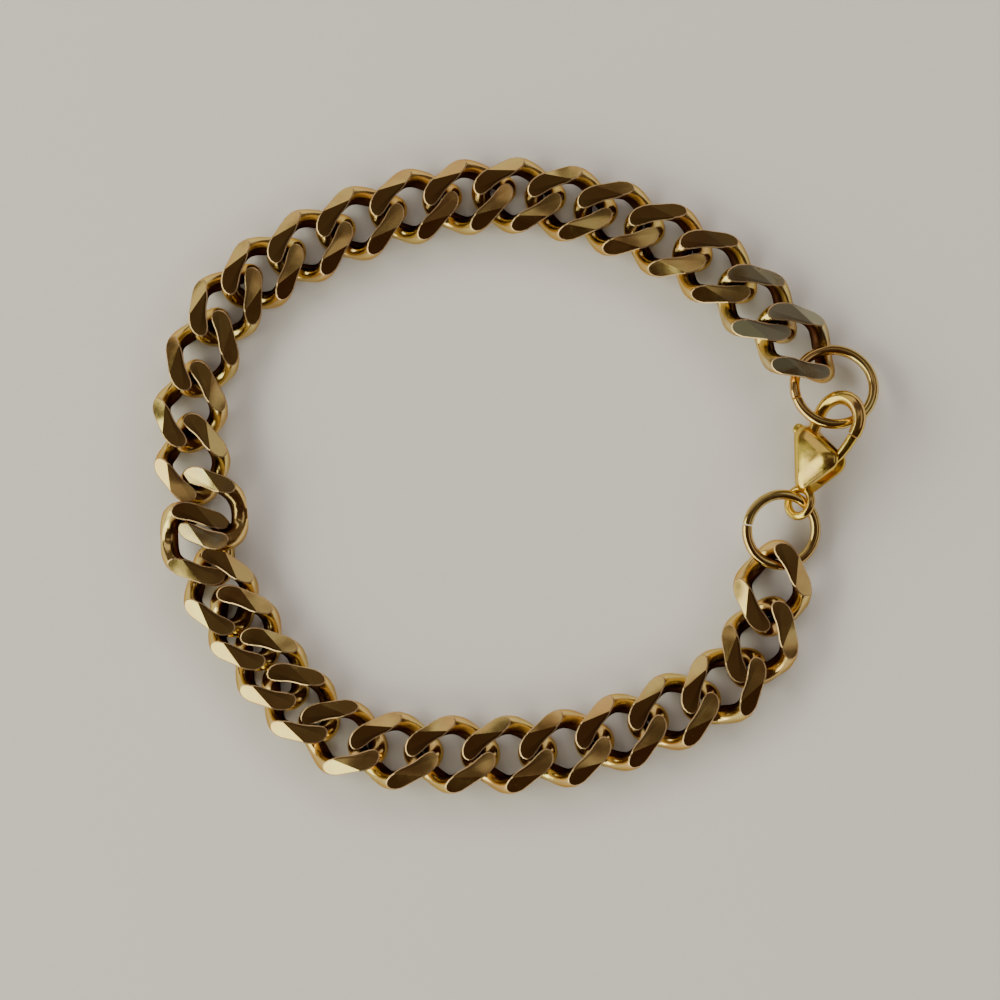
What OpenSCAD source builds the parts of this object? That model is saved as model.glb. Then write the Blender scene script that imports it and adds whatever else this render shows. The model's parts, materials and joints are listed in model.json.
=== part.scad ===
// Link bracelet: a flat-ground curb chain closed by two jump rings and a sprung claw clasp,
// lying on a flat surface in an open loop. Millimetres, +Z up, the surface is at Z = 0.

/* [Chain links] */
// Number of links in the chain
link_count = 32; // [24:1:36]
// Length of one link over its two ends
link_l = 9.2; // [8.8:0.1:10.4]
// Width of one link over its two sides
link_w = 7.4; // [7.0:0.1:8.6]
// Diameter of the wire of a link before grinding
link_wire = 1.8; // [1.4:0.05:1.9]
// Play between two links that lie in line
link_play = 0.3; // [0.15:0.05:0.5]
// Twist of each end of a link about its length, in degrees
link_twist = 48; // [44:1:52]

/* [Ground facets] */
// Thickness of the chain over its ground facets
chain_t = 2.8; // [2.4:0.1:3.4]
// Distance of the ridge between two facets from the middle of the link
ridge_out = 2.1; // [1.6:0.1:2.4]
// Slope of the outer facets in degrees
outer_slope = 27; // [15:1:35]
// Slope of the inner facets in degrees
inner_slope = 10; // [4:1:14]

/* [Jump rings] */
// Outer diameter of the jump ring that the clasp hooks into
hook_ring_od = 8.4; // [7.6:0.1:9.4]
// Outer diameter of the jump ring that carries the clasp
eye_ring_od = 7.6; // [7.0:0.1:8.6]
// Wire diameter of both jump rings
ring_wire = 0.95; // [0.8:0.05:1.1]
// Open joint in each jump ring
ring_split = 0.12; // [0.05:0.01:0.4]

/* [Clasp body] */
// Length of the clasp from the end of its eye to the top of its hook
clasp_l = 13; // [12.4:0.1:14]
// Outer diameter of the eye
eye_od = 3.4; // [3.3:0.05:3.8]
// Wire diameter of the eye
eye_wire = 0.7; // [0.6:0.05:0.75]
// Outer diameter of the hook's bend
hook_od = 5.8; // [5.6:0.1:6.6]
// Wire diameter of the hook
hook_wire = 1.2; // [1.0:0.05:1.3]
// Distance of the hook's centre from the clasp's centre line
hook_side = 0.7; // [0.4:0.05:0.9]
// Thickness of the body at its middle
body_t = 2.8; // [2.6:0.1:3.2]
// Thickness of the body at its rim
rim_t = 1.4; // [1.3:0.05:1.8]

/* [Clasp lever] */
// Thickness of the lever
lever_t = 0.8; // [0.6:0.05:0.9]
// Width of the gate arm
gate_w = 0.85; // [0.7:0.05:1.0]
// Diameter of the thumb knob
knob_d = 1.1; // [0.9:0.05:1.3]
// Play on each side of the lever in its slot
slot_play = 0.1; // [0.05:0.01:0.15]
// Gap between the gate arm and the tip of the hook
seam_gap = 0.12; // [0.08:0.01:0.2]
// Diameter of the hinge pin
pin_d = 0.7; // [0.6:0.05:0.8]
// Running play around the hinge pin, on the radius
pin_play = 0.04; // [0.02:0.01:0.08]

/* [Hidden] */
$fn = 48;
gold = [0.80, 0.62, 0.28];
// Chain: the middle line of a link is an oval of half axes arm_x and arm_y, twisted about
// its length so that one side of each end dips under the next link
link_sides = 6;
link_rings = 16;
twist_bias = 0.15;
arm_x = (link_l - link_wire) / 2;
arm_y = (link_w - link_wire) / 2;
pitch = link_l - 2 * link_wire - link_play;
// Route of the loop, seen from above, through the middles of the links, rings and clasp
ROUTE = [
    [27.1, 11.5], [19.3, 19.1], [10.1, 24.2], [0.4, 26.7], [-9.5, 25.9], [-19.6, 22.3], [-27.7, 16.6],
    [-31.3, 6.6], [-30.4, -1.1], [-29.6, -6.1], [-27.9, -11.7], [-23, -18.9], [-16.2, -25.2],
    [-5.6, -26.8], [5.3, -26.2], [15.6, -22.7], [20.3, -20.2], [23.4, -16.3], [24.5, -11.1],
    [25.5, -5.8], [27.3, -3.1], [30.5, 4.7], [30.7, 7.2],
];
// Links that lie out of line, one row each. Columns: number of the link, step to the next link
// as a share of the pitch, shift to the inside, turn to the left, roll with the inside up,
// nose down, lift
NUM = 0;
STEP = 1;
SHIFT = 2;
TURN = 3;
ROLL = 4;
NOSE = 5;
LIFT = 6;
LAY = [
    [1, 1, 0, 0, 18, 0, 0],
    [2, 1.03, 0, 0, 12, 0, 0],
    [3, 1, 0, 0, 6, 0, 0],
    [4, 0.98, 0, 0, 0, 0, 0],
    [5, 0.92, 0, 0, 0, 0, 0],
    [6, 0.97, 0, 0, 0, 0, 0],
    [7, 0.9, 0, 0, 0, 0, 0],
    [8, 1, 0, 6, 0, 0, 0],
    [9, 1.03, 0, 0, 0, 0, 0],
    [12, 0.9, 0, 0, 0, 0, 0],
    [13, 1, 0, 0, 1, -1, 0],
    [14, 1.02, 0, -2, 1, 0, 0.1],
    [15, 1, 0.1, 0, 3, -2, 0],
    [16, 0.97, 0, -4, 1, -5, 0.15],
    [17, 0.58, 1, 25, 9, -8, 0.2],
    [18, 0.93, -0.7, 24, -9, 11, 0],
    [19, 0.79, 0, -3, -1, 0, 0],
    [20, 0.9, 0.2, 0, 0, 0, 0],
    [21, 0.82, 0, 0, 0, 1, 0],
    [23, 1, 0, 0, -1, -1, 0],
    [24, 1.02, 0, 0, 0, 0, 0],
    [25, 1.03, 0, 0, 0, 0, 0],
    [26, 1.03, 0, 0, 0, 0, 0],
    [27, 1.03, 0, 0, 0, 0, 0],
    [30, 1, 0, 0, 0, -2, 0.05],
    [31, 0.99, 0, 0, 0, 0, 0],
    [32, 1, -0.1, 0, 0, 0, 0],
];
PLAIN = [0, 1, 0, 0, 0, 0, 0];
lay_rows = [for (row = LAY) row[NUM]];
function lay(i, column) = let (found = search(i, lay_rows)) (len(found) > 0 ? LAY[found[0]] : PLAIN)[column];

// Smooth closed curve through the route's points
curve_steps = 10;
route_n = len(ROUTE);
function route_point(i) = ROUTE[(i + route_n) % route_n];
function blend(a, b, c, d, u) =
    (2 * b + (c - a) * u + (2 * a - 5 * b + 4 * c - d) * u * u + (3 * b - a - 3 * c + d) * u * u * u) / 2;
curve = [
    for (i = [0 : route_n - 1], j = [0 : curve_steps - 1])
        blend(route_point(i - 1), route_point(i), route_point(i + 1), route_point(i + 2), j / curve_steps)
];
curve_n = len(curve);
function curve_point(i) = curve[i % curve_n];
stretches = [for (i = [0 : curve_n - 1]) norm(curve_point(i + 1) - curve_point(i))];
runs = [for (i = 0, run = 0; i <= curve_n; run = run + (i < curve_n ? stretches[i] : 0), i = i + 1) run];
route_len = runs[curve_n];
run_x = [for (i = [0 : curve_n]) [runs[i], curve_point(i).x]];
run_y = [for (i = [0 : curve_n]) [runs[i], curve_point(i).y]];

// Places along the loop, which is as long as its links, rings and clasp need
steps = [for (i = [1 : link_count - 1]) pitch * lay(i, STEP)];
function sum_to(list, n, i = 0) = i >= n ? 0 : list[i] + sum_to(list, n, i + 1);
hook_ring_r = (hook_ring_od - ring_wire) / 2;
eye_ring_r = (eye_ring_od - ring_wire) / 2;
hook_ring_slack = 0.75;
eye_ring_slack = 0.15;
function ring_reach(r, slack) = arm_x - link_wire / 2 - ring_wire / 2 + r - slack;
function link_run(i) = sum_to(steps, i - 1);
eye_ring_run = link_run(link_count) + ring_reach(eye_ring_r, eye_ring_slack);
ring_in_eye = 0.2;
eye_run = eye_ring_run + eye_ring_r - ring_in_eye;
hook_r = (hook_od - hook_wire) / 2;
hook_x = clasp_l - eye_od / 2 - hook_od / 2;
ring_in_hook = 1.65;
hook_ring_run = eye_run + hook_x + hook_r - hook_wire / 2 - ring_wire / 2 + hook_ring_r - ring_in_hook;
loop_len = hook_ring_run + ring_reach(hook_ring_r, hook_ring_slack);
loop_scale = loop_len / route_len;
function place(run) =
    let (r = ((run + loop_len) % loop_len) / loop_scale)
    [lookup(r, run_x), lookup(r, run_y)] * loop_scale;
function bearing(from, to) = atan2(to.y - from.y, to.x - from.x);
function heading(run) = bearing(place(run - pitch / 2), place(run + pitch / 2));

// One link as rings of points around its middle line, cut down to the ground facets
function half_t(y) =
    chain_t / 2 - (abs(y) > ridge_out ? (abs(y) - ridge_out) * tan(outer_slope)
                                      : (ridge_out - abs(y)) * tan(inner_slope));
function twist(t) = -link_twist * ((1 + twist_bias) * cos(t) - twist_bias * cos(3 * t));
function middle(t) = [arm_x * cos(t), arm_y * sin(t) * cos(twist(t)), arm_y * sin(t) * sin(twist(t))];
function along(t) = middle(t + 1) - middle(t - 1);
function unit(v) = v / norm(v);
function ground(p) = [p.x, p.y, max(-half_t(p.y), min(half_t(p.y), p.z))];
link_points = [
    for (i = [0 : link_rings - 1]) let (
        t = (i + 0.5) * 360 / link_rings,
        out = unit(cross(along(t), [0, 0, 1])),
        up = unit(cross(out, along(t)))
    ) for (j = [0 : link_sides - 1]) let (turn = j * 360 / link_sides)
        ground(middle(t) + link_wire / 2 * (cos(turn) * out + sin(turn) * up))
];
function link_index(i, j) = (i % link_rings) * link_sides + j % link_sides;
link_faces = [
    for (i = [0 : link_rings - 1], j = [0 : link_sides - 1], half = [0, 1])
        half == 0
            ? [link_index(i, j), link_index(i, j + 1), link_index(i + 1, j + 1)]
            : [link_index(i, j), link_index(i + 1, j + 1), link_index(i + 1, j)]
];
// Lowest point of a tipped link, so that it can be set on the surface
function low(roll, nose) =
    min([for (p = link_points) (p.y * sin(roll) + p.z * cos(roll)) * cos(nose) - p.x * sin(nose)]);

// How the rings and the clasp lie: height of the middle, tilt and the side that is down,
// the side with the open joint, roll with the right side up, and rise towards the hook
hook_ring_z = 2.15;
hook_ring_tilt = 14.4;
hook_ring_down = 58;
hook_ring_joint = 200;
eye_ring_z = 1.7;
eye_ring_tilt = 19;
eye_ring_down = -32;
eye_ring_joint = 170;
eye_z = 1.65;
clasp_roll = 34;
clasp_rise = 8;
clasp_turn = bearing(place(eye_run), place(eye_run + hook_x));

// Clasp, with its eye at the origin and its hook along +X
eye_r = (eye_od - eye_wire) / 2;
hook_at = [hook_x, -hook_side];
hook_end = -105;
pivot = [0.33 * clasp_l, -0.26 * hook_od];
// Circles that the body's rim and its raised middle are drawn around, one row each. Columns:
// place along the clasp as a share of its length, place to the left and radius as shares of
// the hook's outer diameter
AHEAD = 0;
ASIDE = 1;
RADIUS = 2;
RIM = [[0.145, 0, 0.13], [0.455, 0.33, 0.17], [0.36, -0.28, 0.19]];
CREST = [[0.23, 0.01, 0.05], [0.4, 0.17, 0.08], [0.355, -0.1, 0.085]];

// Lever: a knob arm to the left and a gate arm, bent at its elbow, that ends at the hook's tip
knob_at = [0.485 * clasp_l, 0.55 * hook_od];
elbow = [0.4 * clasp_l, -0.41 * hook_od];
boss_wall = 0.42;
boss_d = pin_d + 2 * (pin_play + boss_wall);
tip_way = [cos(hook_end), sin(hook_end)];
tip_inner = hook_at + (hook_r - hook_wire / 2) * tip_way;
lever_reach = norm(tip_inner - pivot) - seam_gap;

// Slot of the lever: it is open behind the knob arm, and the wall before the arm runs beside it
slot_t = lever_t + 2 * slot_play;
slot_back = 0.18 * clasp_l;
slot_far = 0.7 * hook_od;
slot_step = 0.12 * hook_od;
wall_play = 0.12;
arm_lean = atan((knob_at.x - pivot.x) / (knob_at.y - pivot.y));
function slot_wall(y) = [pivot.x + (y - pivot.y) * tan(arm_lean) + (gate_w / 2 + wall_play) / cos(arm_lean), y];
leg_y = hook_at.y + hook_r;
leg_from = slot_wall(leg_y + hook_wire / 2).x;

// Hinge pin: it is pressed into the body and ends in its faces
pin_seat = 0.01;
pin_l = 0.68 * body_t;

module link(i) {
    run = link_run(i);
    head = heading(run);
    at = place(run) + lay(i, SHIFT) * [-sin(head), cos(head)];
    roll = lay(i, ROLL);
    nose = lay(i, NOSE);
    color(gold)
        translate([at.x, at.y, lay(i, LIFT) - low(roll, nose)])
            rotate([roll, nose, head + lay(i, TURN)])
                polyhedron(points = link_points, faces = link_faces);
}

// A ring of round wire with its open joint on +X
module jump_ring(r) {
    open = ring_split / r * 180 / PI;
    rotate([0, 0, open / 2])
        rotate_extrude(angle = 360 - open)
            translate([r, 0])
                circle(d = ring_wire);
}

// Tips a ring so that its side in the direction down is the lowest
module tip(down, tilt, joint) {
    rotate([0, 0, down])
        rotate([0, tilt, 0])
            rotate([0, 0, joint - down])
                children();
}

module hook_ring() {
    at = place(hook_ring_run);
    color(gold)
        translate([at.x, at.y, hook_ring_z])
            tip(hook_ring_down, hook_ring_tilt, hook_ring_joint)
                jump_ring(hook_ring_r);
}

module eye_ring() {
    at = place(eye_ring_run);
    color(gold)
        translate([at.x, at.y, eye_ring_z])
            tip(eye_ring_down, eye_ring_tilt, eye_ring_joint)
                jump_ring(eye_ring_r);
}

module in_clasp() {
    at = place(eye_run);
    translate([at.x, at.y, eye_z])
        rotate([-clasp_roll, -clasp_rise, clasp_turn])
            children();
}

module plate(rows, t) {
    translate([0, 0, -t / 2])
        linear_extrude(t)
            for (row = rows)
                translate([row[AHEAD] * clasp_l, row[ASIDE] * hook_od])
                    circle(row[RADIUS] * hook_od);
}

module body_block() {
    hull() {
        plate(RIM, rim_t);
        plate(CREST, body_t);
    }
}

module slot() {
    translate([0, 0, -slot_t / 2])
        linear_extrude(slot_t)
            polygon([
                [slot_back, -slot_far], [clasp_l, -slot_far], [clasp_l, slot_step],
                slot_wall(slot_step), slot_wall(slot_far), [slot_back, slot_far],
            ]);
}

module hook() {
    translate(hook_at)
        rotate([0, 0, hook_end])
            rotate_extrude(angle = 90 - hook_end)
                translate([hook_r, 0])
                    circle(d = hook_wire);
    translate([leg_from, leg_y, 0])
        rotate([0, 90, 0])
            cylinder(d = hook_wire, h = hook_x - leg_from);
}

module eye() {
    rotate_extrude()
        translate([eye_r, 0])
            circle(d = eye_wire);
}

// A round bar across the clasp at the hinge
module hinge_bar(d, l) {
    translate([pivot.x, pivot.y, -l / 2])
        cylinder(d = d, h = l);
}

module clasp_body() {
    color(gold)
        in_clasp()
            difference() {
                union() {
                    difference() {
                        body_block();
                        slot();
                    }
                    hook();
                    eye();
                }
                hinge_bar(pin_d + 2 * pin_seat, body_t);
            }
}

module clasp_pin() {
    color(gold)
        in_clasp()
            hinge_bar(pin_d, pin_l);
}

module arm(from, to) {
    translate([0, 0, -lever_t / 2])
        linear_extrude(lever_t)
            hull() {
                translate(from) circle(d = gate_w);
                translate(to) circle(d = gate_w);
            }
}

module clasp_lever() {
    color(gold)
        in_clasp()
            difference() {
                union() {
                    hinge_bar(boss_d, lever_t);
                    arm(pivot, knob_at);
                    translate([knob_at.x, knob_at.y, -lever_t / 2])
                        cylinder(d = knob_d, h = lever_t);
                    arm(pivot, elbow);
                    intersection() {
                        arm(elbow, hook_at + hook_r * tip_way);
                        hinge_bar(2 * lever_reach, lever_t);
                    }
                }
                hinge_bar(pin_d + 2 * pin_play, body_t);
            }
}

for (i = [1 : link_count])
    link(i);
hook_ring();
eye_ring();
clasp_body();
clasp_pin();
clasp_lever();
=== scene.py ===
import json
from math import atan2, cos, pi, radians, sin, tan

import bpy
import numpy as np
from mathutils import Matrix, Vector


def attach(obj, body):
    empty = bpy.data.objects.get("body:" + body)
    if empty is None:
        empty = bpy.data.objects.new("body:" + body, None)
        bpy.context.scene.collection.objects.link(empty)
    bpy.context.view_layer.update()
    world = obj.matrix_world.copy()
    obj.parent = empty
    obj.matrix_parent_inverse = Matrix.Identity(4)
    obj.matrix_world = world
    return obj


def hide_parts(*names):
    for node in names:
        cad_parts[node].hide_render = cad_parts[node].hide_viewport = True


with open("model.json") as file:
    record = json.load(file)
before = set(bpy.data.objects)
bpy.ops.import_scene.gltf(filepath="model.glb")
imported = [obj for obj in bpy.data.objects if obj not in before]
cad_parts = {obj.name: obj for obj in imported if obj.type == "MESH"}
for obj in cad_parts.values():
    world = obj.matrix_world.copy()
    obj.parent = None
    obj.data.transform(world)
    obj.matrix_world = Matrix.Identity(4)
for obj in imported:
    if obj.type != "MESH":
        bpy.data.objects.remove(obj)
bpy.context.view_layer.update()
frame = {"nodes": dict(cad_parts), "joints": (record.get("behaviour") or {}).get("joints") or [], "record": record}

bl_info = {
    "name": "Link Bracelet",
    "version": (1, 0, 0),
    "blender": (4, 5, 0),
    "location": "3D View > Sidebar > Bracelet",
    "description": "Curb link bracelet with jump rings and a claw clasp, dressed for a render",
    "category": "Object",
}

MM = 0.001
LINKS = sorted((n for n in frame["nodes"] if n.startswith("link_")), key=lambda n: int(n[5:]))
BODY_OF = {n: body for body, nodes in frame["record"]["behaviour"]["bodies"].items() for n in nodes}

# How far the plating is worn down to the grey metal, from 0 to 1. The links that WEAR doesn't
# name have PLAIN_WEAR
WEAR = {"link_1": 0.95, "link_2": 1, "link_3": 0.35, "link_16": 0.25, "link_17": 0.5, "link_18": 0.3}
PLAIN_WEAR = 0.12
RING_WEAR = 0.3
CLASP_WEAR = 0
# Roughness of the metal where it is worn or where shade is painted into its hollows
WORN_ROUGH = 0.36


class LinkSizes(bpy.types.PropertyGroup):
    wire: bpy.props.FloatProperty(
        name="Wire", description="Diameter of a link's wire in mm", default=1.8, min=0.5, max=4)
    length: bpy.props.FloatProperty(
        name="Length", description="Length of a link in mm", default=9.2, min=4, max=20)
    width: bpy.props.FloatProperty(
        name="Width", description="Width of a link in mm", default=7.4, min=3, max=16)
    twist: bpy.props.FloatProperty(
        name="Twist", description="Twist of each end of a link", default=radians(48), unit="ROTATION")
    twist_bias: bpy.props.FloatProperty(
        name="Twist bias", description="How much of the twist is left to the very ends", default=0.15)
    thickness: bpy.props.FloatProperty(
        name="Thickness", description="Thickness over the ground facets as drawn, in mm", default=2.8)
    crown: bpy.props.FloatProperty(
        name="Crown", description="Height of the upper ridge over the middle, ground down in use, in mm",
        default=1.3)
    ridge: bpy.props.FloatProperty(
        name="Ridge", description="Distance of the ridge between two facets from the middle in mm",
        default=2.1)
    outer_slope: bpy.props.FloatProperty(
        name="Outer slope", description="Slope of the outer facets", default=radians(27),
        unit="ROTATION")
    inner_slope: bpy.props.FloatProperty(
        name="Inner slope", description="Slope of the inner facets", default=radians(9),
        unit="ROTATION")
    edge: bpy.props.FloatProperty(
        name="Edge", description="Width of the polished edge of a facet in mm", default=0.11)
    edge_slope: bpy.props.FloatProperty(
        name="Edge slope", description="Slope of the polished edge", default=radians(26),
        unit="ROTATION")


class RingSizes(bpy.types.PropertyGroup):
    wire: bpy.props.FloatProperty(
        name="Wire", description="Diameter of the rings' wire in mm", default=0.95)
    hook_ring: bpy.props.FloatProperty(
        name="Hook ring", description="Outer diameter of the ring in the hook in mm", default=8.4)
    eye_ring: bpy.props.FloatProperty(
        name="Eye ring", description="Outer diameter of the ring in the eye in mm", default=7.6)
    split: bpy.props.FloatProperty(
        name="Open joint", description="Gap of the open joint in mm", default=0.12)
    hook_joint: bpy.props.FloatProperty(
        name="Hook ring joint", description="Side of the open joint", default=radians(200),
        unit="ROTATION")
    eye_joint: bpy.props.FloatProperty(
        name="Eye ring joint", description="Side of the open joint", default=radians(170),
        unit="ROTATION")


class ClaspSizes(bpy.types.PropertyGroup):
    length: bpy.props.FloatProperty(
        name="Length", description="Length from eye to hook in mm", default=13)
    eye: bpy.props.FloatProperty(
        name="Eye", description="Outer diameter of the eye in mm", default=3.4)
    eye_wire: bpy.props.FloatProperty(
        name="Eye wire", description="Diameter of the eye's wire in mm", default=0.8)
    hook: bpy.props.FloatProperty(
        name="Hook", description="Outer diameter of the hook in mm", default=5.8)
    hook_wire: bpy.props.FloatProperty(
        name="Hook wire", description="Diameter of the hook's wire in mm", default=1.2)
    side: bpy.props.FloatProperty(
        name="Hook side", description="Distance of the hook from the clasp's middle line in mm",
        default=0.7)
    body: bpy.props.FloatProperty(
        name="Body", description="Thickness of the body in mm", default=2.8)
    rim: bpy.props.FloatProperty(
        name="Rim", description="Thickness of the body's rim in mm", default=1.4)
    slot: bpy.props.FloatProperty(
        name="Slot", description="Width of the lever's slot in mm", default=1.0)
    roll: bpy.props.FloatProperty(
        name="Roll", description="Roll with the right side up", default=radians(34), unit="ROTATION")
    rise: bpy.props.FloatProperty(
        name="Rise", description="Rise towards the hook", default=radians(8), unit="ROTATION")


class Finish(bpy.types.PropertyGroup):
    gold: bpy.props.FloatVectorProperty(
        name="Gold", description="Colour of the plating", subtype="COLOR", size=3,
        default=(0.83, 0.67, 0.27))
    copper: bpy.props.FloatVectorProperty(
        name="Copper", description="Colour of its warmer patches", subtype="COLOR", size=3,
        default=(0.80, 0.53, 0.22))
    edge: bpy.props.FloatVectorProperty(
        name="Edge", description="Colour of the rubbed edges of the facets", subtype="COLOR", size=3,
        default=(0.66, 0.46, 0.26))
    # Painted shade: the dark colour that is painted into the hollows of the links, where shade falls
    shade_tint: bpy.props.FloatVectorProperty(
        name="Shade_colour", description="Colour of the tarnish in the hollows of the links", subtype="COLOR",
        size=3, default=(0.13, 0.055, 0.03))
    grey: bpy.props.FloatVectorProperty(
        name="Grey", description="Colour of the worn metal", subtype="COLOR", size=3,
        default=(0.53, 0.52, 0.40))
    clasp: bpy.props.FloatVectorProperty(
        name="Clasp", description="Colour of the clasp's plating", subtype="COLOR", size=3,
        default=(0.85, 0.65, 0.14))


class Stage(bpy.types.PropertyGroup):
    floor: bpy.props.FloatVectorProperty(
        name="Floor", description="Colour of the floor", subtype="COLOR", size=3,
        default=(0.72, 0.69, 0.65))
    room: bpy.props.FloatProperty(
        name="Room", description="Strength of the dim room all round", default=0.07)
    distance: bpy.props.FloatProperty(
        name="Distance", description="Distance of the camera from its target", default=0.26,
        unit="LENGTH")
    focal: bpy.props.FloatProperty(
        name="Focal length", description="Focal length on a 36 mm sensor, in mm", default=98.28)


GROUPS = {"bracelet_links": LinkSizes, "bracelet_rings": RingSizes, "bracelet_clasp": ClaspSizes,
          "bracelet_finish": Finish, "bracelet_stage": Stage}


# Helpers for modelling. Pieces are shaped in millimetres at the origin, then placed.
# Points this close together in mm lie in the same place, and those of a wire are merged
CLOSE, MERGED = 1e-5, 1e-4
# Edges sharper than this angle in degrees are softened
SHARP = 50


def deselect():
    """Leaves edit mode and selects nothing."""
    if bpy.context.object and bpy.context.object.mode != "OBJECT":
        bpy.ops.object.mode_set(mode="OBJECT")
    bpy.ops.object.select_all(action="DESELECT")


def active():
    return bpy.context.view_layer.objects.active


def pick(obj):
    """Makes the object the only selected one, and the active one."""
    deselect()
    bpy.context.view_layer.objects.active = obj
    obj.select_set(True)


def edit(obj):
    """Opens the object in edit mode, with no face selected."""
    pick(obj)
    bpy.ops.object.mode_set(mode="EDIT")
    bpy.ops.mesh.select_mode(type="FACE")
    bpy.ops.mesh.select_all(action="DESELECT")


def pick_faces(obj, test):
    """Selects the faces that pass the test. Starts and ends in edit mode."""
    bpy.ops.object.mode_set(mode="OBJECT")
    for face in obj.data.polygons:
        face.select = bool(test(face))
    bpy.ops.object.mode_set(mode="EDIT")


def grind(obj, point, normal, test):
    """Cuts the faces that pass the test off along a plane, and closes the cut."""
    edit(obj)
    pick_faces(obj, test)
    bpy.ops.mesh.bisect(
        plane_co=point, plane_no=normal, use_fill=True, clear_outer=True, threshold=CLOSE)
    bpy.ops.object.mode_set(mode="OBJECT")


def apply_modifier(obj, kind, **values):
    pick(obj)
    modifier = obj.modifiers.new(kind.title(), kind)
    for key, value in values.items():
        setattr(modifier, key, value)
    bpy.ops.object.modifier_apply(modifier=modifier.name)


def soften(obj, width, segments):
    """Rounds the sharp edges of a piece."""
    apply_modifier(obj, "BEVEL", width=width, segments=segments, limit_method="ANGLE",
                   angle_limit=radians(SHARP))


def smooth(obj, angle):
    """Shades the mesh round over every edge of less than the angle in degrees."""
    pick(obj)
    bpy.ops.object.shade_smooth_by_angle(angle=radians(angle))


def wire_along(points, radii, closed, sides=24):
    """A round wire along points, with a radius at each, as a mesh."""
    deselect()
    bpy.ops.curve.primitive_nurbs_path_add()
    path = active()
    curve = path.data
    curve.splines.clear()
    spline = curve.splines.new("POLY")
    spline.points.add(len(points) - 1)
    for item, point, radius in zip(spline.points, points, radii):
        item.co = (*point, 1)
        item.radius = radius
    spline.use_cyclic_u = closed
    curve.dimensions = "3D"
    curve.bevel_depth = 1
    curve.bevel_resolution = sides // 4 - 1
    curve.use_fill_caps = not closed
    bpy.ops.object.convert(target="MESH")
    wire = active()
    edit(wire)
    bpy.ops.mesh.select_all(action="SELECT")
    bpy.ops.mesh.remove_doubles(threshold=MERGED)
    bpy.ops.mesh.normals_make_consistent(inside=False)
    bpy.ops.object.mode_set(mode="OBJECT")
    return wire


def place(obj, name, pose, node):
    """Puts a piece that was shaped in millimetres in its place, and lets it stand for a CAD node."""
    obj.name = name
    obj.data.name = name
    obj.data.transform(Matrix(pose.tolist()) @ Matrix.Scale(MM, 4))
    # A tipped link is rounder below than the CAD link, and is flattened on the floor
    for vertex in obj.data.vertices:
        vertex.co.z = max(vertex.co.z, 0)
    obj.data.update()
    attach(obj, BODY_OF[node])
    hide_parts(node)


def corners(node):
    """The corners of a CAD node, each once."""
    mesh = frame["nodes"][node].data
    flat = np.empty(len(mesh.vertices) * 3)
    mesh.vertices.foreach_get("co", flat)
    return np.unique(flat.reshape(-1, 3).round(8), axis=0)


def frame_of(x, z, origin):
    """A pose from the ways of its x and z axes and its origin."""
    x, z = x / np.linalg.norm(x), z / np.linalg.norm(z)
    pose = np.eye(4)
    pose[:3, 0], pose[:3, 1], pose[:3, 2], pose[:3, 3] = x, np.cross(z, x), z, origin
    return pose


# Noises in the metals: their scales per metre, and the values between which the mottled ones
# go from none to all
PATCH_SCALE, RUB_SCALE, HAZE_SCALE = 230, 300, 900
PATCH_RANGE, RUB_RANGE, HAZE_RANGE = (0.38, 0.66), (0.42, 0.74), (0.35, 0.75)
NOISE_ROUGH = 0.55
# How much of the rubbing noise is left out where nothing is worn
UNWORN = -0.35
# Scales of the dents and the scratches per metre, and their depths in m
DENT_SCALE, SCRATCH_SCALE = 170, 2600
DENT_DEPTH, SCRATCH_DEPTH = 0.0004, 0.00002


def add(nodes, kind, **inputs):
    """A new node, with values for its sockets or its settings."""
    node = nodes.new(kind)
    for key, value in inputs.items():
        if key in node.inputs:
            node.inputs[key].default_value = value
        else:
            setattr(node, key, value)
    return node


def noise(nodes, links, coords, scale, detail=3.0):
    node = add(nodes, "ShaderNodeTexNoise", Scale=scale, Detail=detail, Roughness=NOISE_ROUGH)
    links.new(coords.outputs["Object"], node.inputs["Vector"])
    return node.outputs["Fac"]


def spread(nodes, links, value, low, high, to_low, to_high):
    """A value moved from one range to another, and kept inside it."""
    node = add(nodes, "ShaderNodeMapRange")
    for key, number in (("From Min", low), ("From Max", high), ("To Min", to_low), ("To Max", to_high)):
        node.inputs[key].default_value = number
    links.new(value, node.inputs["Value"])
    return node.outputs["Result"]


def blend_colour(nodes, links, factor, first, second):
    node = add(nodes, "ShaderNodeMix", data_type="RGBA")
    links.new(factor, node.inputs["Factor"])
    for socket, colour in ((node.inputs[6], first), (node.inputs[7], second)):
        if isinstance(colour, bpy.types.NodeSocket):
            links.new(colour, socket)
        else:
            socket.default_value = (*colour, 1)
    return node.outputs[2]


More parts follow.
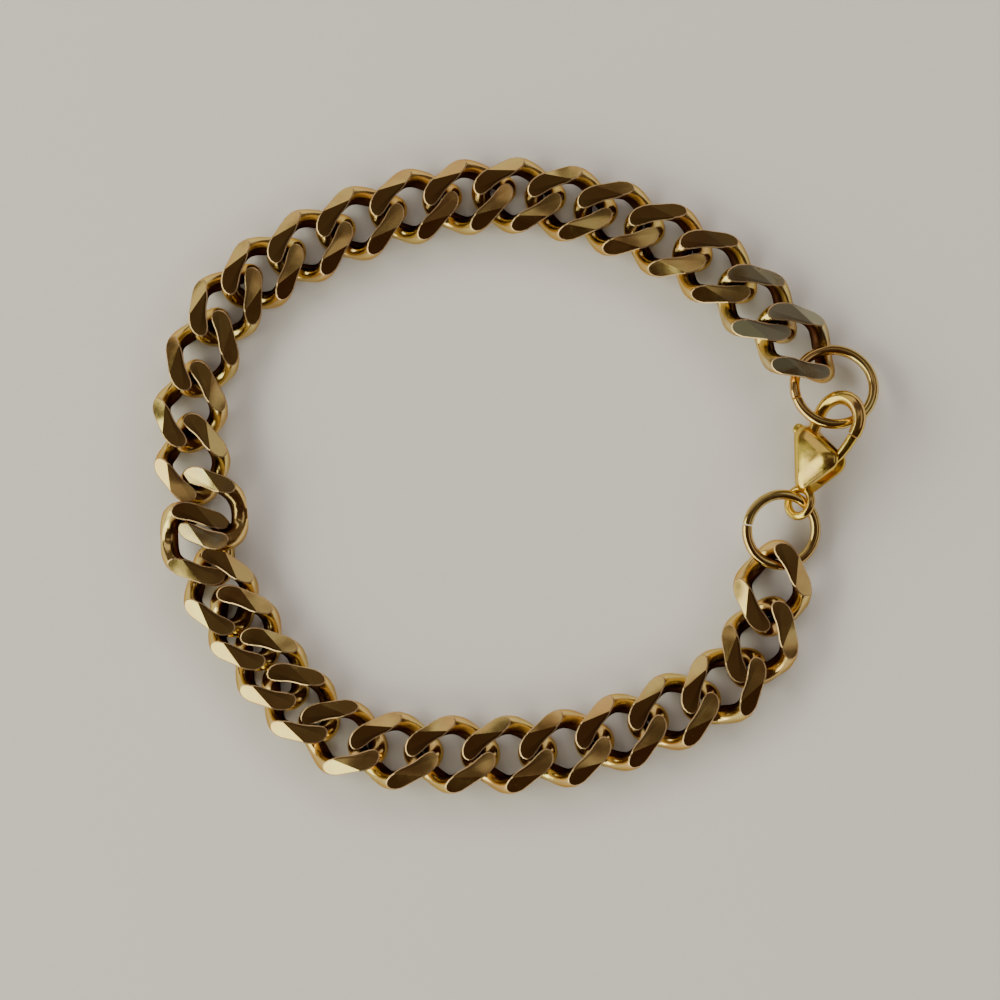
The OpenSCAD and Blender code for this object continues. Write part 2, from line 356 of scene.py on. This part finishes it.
def metal(name, base, warm, grey, shade_tint, rough, scratch, dents, most_wear, metallic=1.0):
    """Polished plating with warmer patches, worn grey patches, painted shade in the hollows and fine scratches.

    rough is its least and most roughness, and most_wear is added to the rubbing noise where
    the wear is 1."""
    material = bpy.data.materials.new(name)
    material.use_nodes = True
    nodes, links = material.node_tree.nodes, material.node_tree.links
    shader = nodes["Principled BSDF"]
    shader.inputs["Metallic"].default_value = metallic
    shader.inputs["IOR"].default_value = 1.5
    coords = add(nodes, "ShaderNodeTexCoord")
    patches = spread(nodes, links, noise(nodes, links, coords, PATCH_SCALE), *PATCH_RANGE, 0, 1)
    colour = blend_colour(nodes, links, patches, base, warm)
    wear = add(nodes, "ShaderNodeAttribute", attribute_name="wear").outputs["Fac"]
    rubbed = add(nodes, "ShaderNodeMath", operation="ADD")
    links.new(noise(nodes, links, coords, RUB_SCALE), rubbed.inputs[0])
    links.new(spread(nodes, links, wear, 0, 1, UNWORN, most_wear), rubbed.inputs[1])
    worn = spread(nodes, links, rubbed.outputs[0], *RUB_RANGE, 0, 1)
    colour = blend_colour(nodes, links, worn, colour, grey)
    # Painted shade: this attribute darkens the colour towards the shade colour where the links' walls face their
    # hollows
    painted_shade = add(nodes, "ShaderNodeAttribute", attribute_name="painted_shade").outputs["Fac"]
    colour = blend_colour(nodes, links, painted_shade, colour, shade_tint)
    links.new(colour, shader.inputs["Base Color"])
    # Painted shade in the reflections: their tint goes dark in the hollows
    links.new(blend_colour(nodes, links, painted_shade, warm, shade_tint), shader.inputs["Specular Tint"])
    haze = spread(nodes, links, noise(nodes, links, coords, HAZE_SCALE, detail=4), *HAZE_RANGE, *rough)
    for dulled in (worn, painted_shade):
        dull = add(nodes, "ShaderNodeMath", operation="MAXIMUM")
        links.new(haze, dull.inputs[0])
        links.new(spread(nodes, links, dulled, 0, 1, 0, WORN_ROUGH), dull.inputs[1])
        haze = dull.outputs[0]
    links.new(haze, shader.inputs["Roughness"])
    dented = add(nodes, "ShaderNodeBump", Strength=dents, Distance=DENT_DEPTH)
    links.new(noise(nodes, links, coords, DENT_SCALE, detail=1), dented.inputs["Height"])
    scratched = add(nodes, "ShaderNodeBump", Strength=scratch, Distance=SCRATCH_DEPTH)
    links.new(noise(nodes, links, coords, SCRATCH_SCALE, detail=2), scratched.inputs["Height"])
    links.new(dented.outputs["Normal"], scratched.inputs["Normal"])
    links.new(scratched.outputs["Normal"], shader.inputs["Normal"])


def materials():
    """The object's metals, made once."""
    if "ground gold" not in bpy.data.materials:
        finish = bpy.context.scene.bracelet_finish
        gold, edge, clasp = tuple(finish.gold), tuple(finish.edge), tuple(finish.clasp)
        grey = tuple(finish.grey)
        # The metals take the colour of the painted shade in their hollows
        plated = {"warm": tuple(finish.copper), "grey": grey, "shade_tint": tuple(finish.shade_tint)}
        metal("drawn gold", gold, **plated, rough=(0.13, 0.24), scratch=0.10, dents=0.3, most_wear=-0.02)
        metal("ground gold", gold, **plated, rough=(0.10, 0.18), scratch=0.05, dents=0.8, most_wear=0.3)
        metal("edge gold", edge, edge, grey, edge, rough=(0.26, 0.36), scratch=0.05, dents=0.3,
              most_wear=-0.2, metallic=0.85)
        metal("ring gold", gold, **plated, rough=(0.12, 0.22), scratch=0.08, dents=0.3, most_wear=-0.02)
        metal("cast gold", clasp, **plated, rough=(0.14, 0.28), scratch=0.16, dents=0.6, most_wear=0.3)
    return bpy.data.materials


def dress(obj, *names):
    obj.data.materials.clear()
    for name in names:
        obj.data.materials.append(materials()[name])


def set_wear(obj, value):
    layer = obj.data.attributes.new("wear", "FLOAT", "POINT")
    layer.data.foreach_set("value", [value] * len(obj.data.vertices))


class BRACELET_OT_links(bpy.types.Operator):
    """Models one curb link, grinds its facets, and copies it along the chain"""
    bl_idname = "bracelet.links"
    bl_label = "Curb Links"

    # Points along the middle line of a link, and corners around its wire
    ALONG, AROUND = 112, 28
    # How far in mm the cut of a facet reaches past its own quarter of the link
    PAST = 1.2
    # The metals of a link, in their order on its mesh
    DRAWN, GROUND, EDGE = range(3)
    METALS = ("drawn gold", "ground gold", "edge gold")
    # Each ground facet is one face, and the only kind of face with this many corners or more
    FACET_CORNERS = 9
    # Edges of the drawn wire under this angle in degrees are shaded round
    ROUND = 40
    # Painted shade where a wall faces the link's middle, what every wall has of it, and how much less of it there
    # is where the wall faces up
    STAIN, STAIN_ALL, STAIN_RUBBED = 3.2, 0.1, 0.25

    def model(self, size):
        arm_x, arm_y = (size.length - size.wire) / 2, (size.width - size.wire) / 2

        def middle(t):
            turn = -size.twist * ((1 + size.twist_bias) * cos(t) - size.twist_bias * cos(3 * t))
            return arm_x * cos(t), arm_y * sin(t) * cos(turn), arm_y * sin(t) * sin(turn)

        link = wire_along([middle(2 * pi * i / self.ALONG) for i in range(self.ALONG)],
                          [size.wire / 2] * self.ALONG, True, sides=self.AROUND)

        def in_quarter(at, side, up):
            """Whether the wire rises there to the facets of a side, or a little past it."""
            return at.x * side * up < self.PAST and at.y * side > -self.PAST and at.z * up > 0

        for up, height in ((1, size.crown), (-1, size.thickness / 2)):
            for side in (1, -1):
                for slope in (size.outer_slope, -size.inner_slope):
                    point = (0, side * size.ridge, up * height)
                    normal = (0, side * sin(slope), up * cos(slope))
                    grind(link, point, normal, lambda face: in_quarter(face.center, side, up))
        self.edge(link, size)
        smooth(link, self.ROUND)
        for face in link.data.polygons:
            face.use_smooth = face.material_index == self.DRAWN

        # Painted shade: each point gets a share of the dark shade colour, more where it faces the hollow in the
        # middle, less where it faces up
        painted_shade = link.data.attributes.new("painted_shade", "FLOAT", "POINT")
        for value, vertex in zip(painted_shade.data, link.data.vertices):
            at, normal = vertex.co, vertex.normal
            inwards = -(normal.x * at.x / arm_x + normal.y * at.y / arm_y)
            shade_amount = self.STAIN * inwards + self.STAIN_ALL - self.STAIN_RUBBED * normal.z
            value.value = min(1, max(0, shade_amount))
        return link

    def edge(self, link, size):
        """Gives the ground facets their metal, and each of them a polished edge."""
        dress(link, *self.METALS)
        for face in link.data.polygons:
            ground = len(face.vertices) >= self.FACET_CORNERS
            face.material_index = self.GROUND if ground else self.DRAWN
        edit(link)
        pick_faces(link, lambda face: face.material_index == self.GROUND)
        bpy.ops.mesh.inset(
            thickness=size.edge, depth=size.edge * tan(size.edge_slope), use_even_offset=True)
        bpy.ops.object.mode_set(mode="OBJECT")
        for face in link.data.polygons:
            if face.material_index == self.GROUND and len(face.vertices) < self.FACET_CORNERS:
                face.material_index = self.EDGE

    def execute(self, context):
        link = self.model(context.scene.bracelet_links)
        centres = {name: corners(name).mean(axis=0) for name in LINKS}
        for i, name in enumerate(LINKS):
            points = corners(name)
            _, axes = np.linalg.eigh(np.cov((points - centres[name]).T))
            x, z = axes[:, 2], axes[:, 0]
            before = min(i, len(LINKS) - 2)
            ahead = centres[LINKS[before + 1]] - centres[LINKS[before]]
            pose = frame_of(x * np.sign(x @ ahead), z * np.sign(z[2]), centres[name])
            copy = link.copy()
            copy.data = link.data.copy()
            context.collection.objects.link(copy)
            place(copy, f"curb_{name}", pose, name)
            set_wear(copy, WEAR.get(name, PLAIN_WEAR))
        bpy.data.objects.remove(link)
        return {"FINISHED"}


class BRACELET_OT_rings(bpy.types.Operator):
    """Models the two open jump rings"""
    bl_idname = "bracelet.rings"
    bl_label = "Jump Rings"

    # Steps along a ring, corners around its wire, and the softened edge of its ends in mm
    ALONG, AROUND, SOFT = 160, 28, 0.05
    # Edges under this angle in degrees are shaded round
    ROUND = 35

    def model(self, outer, wire, split):
        deselect()
        bpy.ops.mesh.primitive_torus_add(
            major_segments=self.ALONG, minor_segments=self.AROUND,
            major_radius=(outer - wire) / 2, minor_radius=wire / 2)
        ring = active()

        def pick_near(reach):
            edit(ring)
            pick_faces(ring, lambda face: face.center.x > 0 and abs(face.center.y) < reach)

        for side in (1, -1):
            pick_near(wire)
            bpy.ops.mesh.bisect(plane_co=(0, side * split / 2, 0), plane_no=(0, 1, 0), threshold=CLOSE)
        pick_near(split / 2)
        bpy.ops.mesh.delete(type="FACE")
        bpy.ops.mesh.select_all(action="SELECT")
        bpy.ops.mesh.fill_holes(sides=0)
        bpy.ops.mesh.select_all(action="SELECT")
        bpy.ops.mesh.normals_make_consistent(inside=False)
        bpy.ops.object.mode_set(mode="OBJECT")
        soften(ring, self.SOFT, 2)
        smooth(ring, self.ROUND)
        return ring

    def execute(self, context):
        size = context.scene.bracelet_rings
        for node, outer, joint in (("hook_ring", size.hook_ring, size.hook_joint),
                                   ("eye_ring", size.eye_ring, size.eye_joint)):
            ring = self.model(outer, size.wire, size.split)
            points = corners(node)
            _, axes = np.linalg.eigh(np.cov((points - points.mean(axis=0)).T))
            z = axes[:, 0] * np.sign(axes[2, 0])
            x = np.array([cos(joint), sin(joint), 0.0])
            x = x - (x @ z) * z
            turned = frame_of(x, z, (0, 0, 0))[:3, :3]
            local = points @ turned
            middle = turned @ ((local.min(axis=0) + local.max(axis=0)) / 2)
            place(ring, f"open_{node}", frame_of(x, z, middle), node)
            dress(ring, "ring gold")
            set_wear(ring, RING_WEAR)
        return {"FINISHED"}


class BRACELET_OT_clasp(bpy.types.Operator):
    """Models the claw clasp's casting and its lever, and dresses its pin"""
    bl_idname = "bracelet.clasp"
    bl_label = "Claw Clasp"

    # Circles that the rim and the raised middle are drawn around: place along the clasp as a
    # share of its length, place to the left and radius as shares of the hook's diameter
    RIM = ((0.145, 0, 0.13), (0.455, 0.33, 0.17), (0.36, -0.28, 0.19))
    CREST = ((0.23, 0.01, 0.05), (0.4, 0.17, 0.08), (0.355, -0.1, 0.085))
    # Levels of the domed body over its rim, as angles on a quarter of an oval
    LEVELS = [radians(angle) for angle in (0, 20, 42, 66, 90)]

    # The hinge, the lever's knob and the elbow of its gate, as the same shares of place
    PIVOT, KNOB, ELBOW = (0.33, -0.26), (0.485, 0.55), (0.4, -0.41)
    # Radii of the knob's arm and the knob as shares of the hook's diameter. Their thickness and
    # the softened edge of each in mm
    ARM, GRIP, LEVER_T = 0.07, 0.095, 0.8
    ARM_SOFT, GRIP_SOFT = 0.14, 0.2
    # The gate's gap to the hook's tip, and its radius at the hinge and at its end, in mm
    SEAM, GATE = 0.16, (0.42, 0.5)

    # The lever's slot: its back as a share of the length, the places of its step and its far
    # side as shares of the hook's diameter, and the distance of its wall from the lever's middle
    # in mm
    BACK, STEP, FAR, WALL = 0.18, 0.12, 0.7, 0.545

    # The angle of its bend at which the hook ends, how far past the step its leg starts in mm,
    # and how much thicker it is in the bend than at the ends
    HOOK_END, LEG_START, SWELL = radians(-105), 0.6, 0.14
    # Points of the gate, of the hook's leg and bend, and of the outlines of the body and a bar
    GATE_POINTS, LEG_POINTS, BEND_POINTS, BODY_POINTS, BAR_POINTS = 24, 8, 64, 90, 48
    # Corners around the hook's wire, steps along the eye and corners around its wire
    HOOK_AROUND, EYE_ALONG, EYE_AROUND = 28, 72, 24
    # Edges of the casting and of the lever under these angles in degrees are shaded round
    CASTING_ROUND, LEVER_ROUND = 35, 40

    def at(self, size, shares):
        """A place in mm from its shares."""
        return np.array([shares[0] * size.length, shares[1] * size.hook])

    def bend(self, size):
        """Middle and radius of the hook's bend."""
        middle = np.array([size.length - size.eye / 2 - size.hook / 2, -size.side])
        return middle, (size.hook - size.hook_wire) / 2

    def bar(self, size, rows, soft):
        """A flat bar around some circles, with softened edges."""
        loop = self.outline(size, rows, self.BAR_POINTS)
        solid = self.stack([loop, loop], [-self.LEVER_T / 2, self.LEVER_T / 2])
        soften(solid, soft, 3)
        return solid

    def join(self, parts, angle):
        deselect()
        for part in parts:
            part.select_set(True)
        bpy.context.view_layer.objects.active = parts[0]
        bpy.ops.object.join()
        smooth(parts[0], angle)
        return parts[0]

    def lever(self, size):
        middle, radius = self.bend(size)
        pivot, elbow = self.at(size, self.PIVOT), self.at(size, self.ELBOW)
        tip = middle + radius * np.array([cos(self.HOOK_END), sin(self.HOOK_END)])
        end = tip - self.SEAM * (tip - elbow) / np.linalg.norm(tip - elbow)
        shares = np.linspace(0, 1, self.GATE_POINTS)
        points = [(*((1 - u) ** 2 * pivot + 2 * u * (1 - u) * elbow + u * u * end), 0) for u in shares]
        gate = wire_along(points, np.linspace(*self.GATE, self.GATE_POINTS), False)
        arm = self.bar(size, [(*self.PIVOT, self.ARM), (*self.KNOB, self.ARM)], self.ARM_SOFT)
        knob = self.bar(size, [(*self.KNOB, self.GRIP)], self.GRIP_SOFT)
        return self.join([gate, arm, knob], self.LEVER_ROUND)

    def outline(self, size, rows, count):
        """Points of the tight outline around some circles, one for each direction."""
        found = []
        for i in range(count):
            way = np.array([cos(2 * pi * i / count), sin(2 * pi * i / count)])
            reach = [self.at(size, (along, left)) + r * size.hook * way for along, left, r in rows]
            found.append(max(reach, key=lambda point: point @ way))
        return np.array(found)

    def stack(self, loops, heights):
        """A closed solid through loops of as many points each, extruded from one to the next."""
        deselect()
        bpy.ops.mesh.primitive_circle_add(vertices=len(loops[0]), radius=1, fill_type="NGON")
        solid = active()
        for vertex, point in zip(solid.data.vertices, loops[0]):
            vertex.co = (*point, heights[0])
        for before, loop, low, high in zip(loops, loops[1:], heights, heights[1:]):
            edit(solid)
            pick_faces(solid, lambda face: abs(face.center.z - low) < CLOSE)
            bpy.ops.mesh.extrude_region_move(TRANSFORM_OT_translate={"value": (0, 0, high - low)})
            bpy.ops.object.mode_set(mode="OBJECT")
            for vertex in solid.data.vertices:
                if abs(vertex.co.z - high) < CLOSE:
                    nearest = np.abs(before - np.array(vertex.co.xy)).sum(axis=1).argmin()
                    vertex.co = (*loop[nearest], high)
        edit(solid)
        bpy.ops.mesh.select_all(action="SELECT")
        bpy.ops.mesh.normals_make_consistent(inside=False)
        bpy.ops.object.mode_set(mode="OBJECT")
        return solid

    def cut(self, solid, tool):
        apply_modifier(solid, "BOOLEAN", operation="DIFFERENCE", solver="EXACT", object=tool)
        bpy.data.objects.remove(tool)

    def casting(self, size):
        rim = self.outline(size, self.RIM, self.BODY_POINTS)
        crest = self.outline(size, self.CREST, self.BODY_POINTS)
        upper = [rim + (1 - cos(angle)) * (crest - rim) for angle in self.LEVELS]
        over = (size.body - size.rim) / 2
        heights = [size.rim / 2 + over * sin(angle) for angle in self.LEVELS]
        body = self.stack(upper[::-1] + upper, [-h for h in heights[::-1]] + heights)

        # The slot is open on the gate's side, and its wall there follows the knob's arm
        pivot, knob = self.at(size, self.PIVOT), self.at(size, self.KNOB)
        lean = (knob - pivot) / (knob - pivot)[1]
        beside = np.array([self.WALL / lean[1] * np.linalg.norm(lean), 0])
        back, step, far = self.BACK * size.length, self.STEP * size.hook, self.FAR * size.hook
        wall = [pivot + (y - pivot[1]) * lean + beside for y in (step, far)]
        slot = np.array([(back, -far), (size.length, -far), (size.length, step), *wall, (back, far)])
        self.cut(body, self.stack([slot, slot], [-size.slot / 2, size.slot / 2]))

        middle, radius = self.bend(size)
        places = np.linspace(wall[0][0] + self.LEG_START, middle[0], self.LEG_POINTS)[:-1]
        leg = [(x, middle[1] + radius, 0) for x in places]
        turns = np.linspace(pi / 2, self.HOOK_END, self.BEND_POINTS)
        bend = [(*(middle + radius * np.array([cos(a), sin(a)])), 0) for a in turns]
        swell = [1 + self.SWELL * sin(pi * i / len(turns)) ** 2 for i in range(len(turns))]
        radii = [size.hook_wire / 2 * share for share in [1] * len(leg) + swell]
        hook = wire_along(leg + bend, radii, False, sides=self.HOOK_AROUND)
        bpy.ops.mesh.primitive_torus_add(
            major_segments=self.EYE_ALONG, minor_segments=self.EYE_AROUND,
            major_radius=(size.eye - size.eye_wire) / 2, minor_radius=size.eye_wire / 2)
        return self.join([body, hook, active()], self.CASTING_ROUND)

    def pose(self, size):
        """The clasp's own frame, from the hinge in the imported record."""
        joint = frame["joints"][0]
        tipped = Matrix.Rotation(-size.rise, 4, "Y") @ Matrix.Rotation(-size.roll, 4, "X")
        was, now = tipped @ Vector((0, 0, 1)), Vector(joint["axis"])
        turned = Matrix.Rotation(atan2(now.y, now.x) - atan2(was.y, was.x), 4, "Z") @ tipped
        hinge = Vector((*self.at(size, self.PIVOT), 0)) * MM
        return np.array(Matrix.Translation(Vector(joint["pos_m"]) - turned @ hinge) @ turned)

    def execute(self, context):
        size = context.scene.bracelet_clasp
        for name, piece, node in (("clasp_casting", self.casting(size), "clasp_body"),
                                  ("clasp_trigger", self.lever(size), "clasp_lever")):
            place(piece, name, self.pose(size), node)
            dress(piece, "cast gold")
            set_wear(piece, CLASP_WEAR)
        dress(frame["nodes"]["clasp_pin"], "cast gold")
        return {"FINISHED"}


class BRACELET_OT_stage(bpy.types.Operator):
    """Sets the floor, the soft lights and the camera"""
    bl_idname = "bracelet.stage"
    bl_label = "Stage"

    # What the camera looks at in mm, and how far it stands to the right of it and below it in
    # the photo, in degrees from straight above
    TARGET = (-1.124, -2.719, 1.3)
    SIDE, BELOW = 6.5, 6.0
    # Width of the camera's sensor in mm, and the nearest that it sees in m
    SENSOR, NEAREST = 36, 0.01
    # Width of the floor in m, its roughness and its shine
    FLOOR_WIDTH, FLOOR_ROUGH, FLOOR_SHINE = 3, 0.9, 0.2
    # Soft panels, one row each: name, azimuth and elevation in degrees, distance, width and
    # height in m, brightness, colour
    PANELS = (
        ("window", 200, 24, 0.70, 0.95, 0.50, 2.5, (0.97, 1.0, 0.70)),
        ("low_window", 246, 13, 0.80, 0.55, 0.30, 2.6, (0.98, 1.0, 0.72)),
        ("far_wall", 118, 26, 0.80, 1.05, 0.30, 0.62, (1.0, 0.90, 0.72)),
        ("right_wall", 12, 44, 0.80, 0.80, 0.30, 0.40, (1.0, 0.92, 0.80)),
        ("ceiling", 96, 65, 0.90, 0.75, 0.17, 0.30, (1.0, 0.90, 0.74)),
        ("left_sky", 170, 28, 1.00, 1.50, 0.34, 5.4, (1.0, 0.98, 0.95)),
        ("far_sky", 80, 28, 1.00, 1.50, 0.34, 3.6, (1.0, 0.98, 0.95)),
        ("right_sky", -10, 28, 1.00, 1.50, 0.34, 2.2, (1.0, 0.98, 0.95)),
        ("near_sky", -100, 28, 1.00, 1.50, 0.34, 2.2, (1.0, 0.98, 0.95)),
    )
    # Low panels that light the floor all round and leave the hollows of the links dark. The
    # metal doesn't show them
    UNSEEN = ("left_sky", "far_sky", "right_sky", "near_sky")
    # Colours of the dim room, which is darker and redder on the near side
    NEAR_SIDE, FAR_SIDE = (0.55, 0.26, 0.16), (1.3, 0.95, 0.7)

    def execute(self, context):
        stage = context.scene.bracelet_stage
        deselect()
        bpy.ops.mesh.primitive_plane_add(size=self.FLOOR_WIDTH)
        floor = active()
        floor.name = "floor"
        material = bpy.data.materials.new("pale floor")
        material.use_nodes = True
        shader = material.node_tree.nodes["Principled BSDF"]
        shader.inputs["Base Color"].default_value = (*stage.floor, 1)
        shader.inputs["Roughness"].default_value = self.FLOOR_ROUGH
        shader.inputs["Specular IOR Level"].default_value = self.FLOOR_SHINE
        floor.data.materials.append(material)

        target = Vector(self.TARGET) * MM
        for name, azimuth, elevation, distance, width, height, bright, colour in self.PANELS:
            a, e = radians(azimuth), radians(elevation)
            way = Vector((cos(e) * cos(a), cos(e) * sin(a), sin(e)))
            bpy.ops.object.light_add(type="AREA", location=target + distance * way)
            light = active()
            light.name = name
            light.rotation_euler = way.to_track_quat("Z", "Y").to_euler()
            light.data.shape = "RECTANGLE"
            light.data.size, light.data.size_y = width, height
            light.data.energy = bright * pi * width * height
            light.data.color = colour
            light.visible_glossy = name not in self.UNSEEN

        world = bpy.data.worlds.new("room")
        world.use_nodes = True
        nodes, links = world.node_tree.nodes, world.node_tree.links
        background = nodes["Background"]
        background.inputs["Strength"].default_value = stage.room
        parts = add(nodes, "ShaderNodeSeparateXYZ")
        links.new(add(nodes, "ShaderNodeTexCoord").outputs["Generated"], parts.inputs["Vector"])
        far = spread(nodes, links, parts.outputs["Y"], -0.5, 0.5, 0, 1)
        colour = blend_colour(nodes, links, far, self.NEAR_SIDE, self.FAR_SIDE)
        links.new(colour, background.inputs["Color"])
        context.scene.world = world

        side, below = sin(radians(self.SIDE)), sin(radians(self.BELOW))
        way = Vector((side, -below, (1 - side * side - below * below) ** 0.5))
        up = Vector((0, 1, 0)) - way.y * way
        up.normalize()
        across = up.cross(way)
        bpy.ops.object.camera_add()
        camera = active()
        turn = Matrix((across, up, way)).transposed().to_4x4()
        camera.matrix_world = Matrix.Translation(target + stage.distance * way) @ turn
        camera.data.sensor_width = self.SENSOR
        camera.data.lens = stage.focal
        camera.data.clip_start = self.NEAREST
        context.scene.camera = camera
        return {"FINISHED"}


class BRACELET_PT_panel(bpy.types.Panel):
    """Lists the bracelet's sizes and colours, and the steps that make it"""
    bl_idname = "BRACELET_PT_panel"
    bl_label = "Link Bracelet"
    bl_space_type = "VIEW_3D"
    bl_region_type = "UI"
    bl_category = "Bracelet"

    def draw(self, context):
        for key, group in GROUPS.items():
            box = self.layout.box()
            box.label(text=key.split("_")[1].title())
            for prop in group.__annotations__:
                box.prop(getattr(context.scene, key), prop)
        for step in STEPS:
            self.layout.operator(step.bl_idname)


STEPS = (BRACELET_OT_stage, BRACELET_OT_links, BRACELET_OT_rings, BRACELET_OT_clasp)
CLASSES = (*GROUPS.values(), *STEPS, BRACELET_PT_panel)


def register():
    for item in CLASSES:
        bpy.utils.register_class(item)
    for key, group in GROUPS.items():
        setattr(bpy.types.Scene, key, bpy.props.PointerProperty(type=group))


def unregister():
    for key in GROUPS:
        delattr(bpy.types.Scene, key)
    for item in reversed(CLASSES):
        bpy.utils.unregister_class(item)


def main():
    register()
    for step in STEPS:
        group, name = step.bl_idname.split(".")
        getattr(getattr(bpy.ops, group), name)()


if __name__ == "__main__":
    main()
